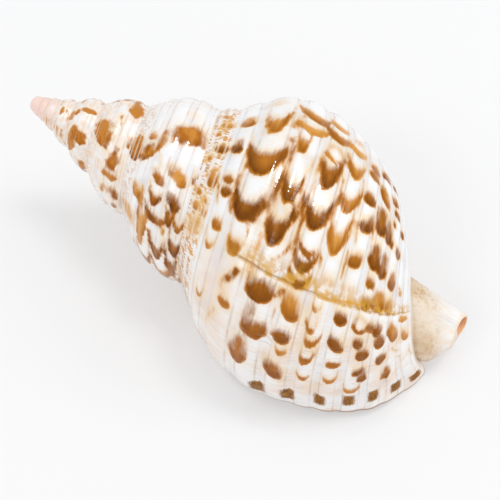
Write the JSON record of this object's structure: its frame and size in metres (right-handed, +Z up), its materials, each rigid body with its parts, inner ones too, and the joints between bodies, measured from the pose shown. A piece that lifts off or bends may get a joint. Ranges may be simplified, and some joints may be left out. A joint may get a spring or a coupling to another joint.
{
  "type": "tritons trumpet shell",
  "caption": "Large tapering spiral sea shell lying mouth down, with spiral ribs, thickened ridges, a wide flared mouth and a short open canal.",
  "frame": {"origin": "middle of the underside of the bounding box, on the surface that the shell lies on", "axes": "+X from the spire's tip towards the canal, +Y away from the mouth's outer lip, +Z up"},
  "size_m": [0.2346, 0.1326, 0.1108],
  "materials": {
    "shell": "glossy porcelain, creamy white with brown crescent marks"
  },
  "bodies": {
    "root": {"shell": "shell"}
  },
  "joints": []
}
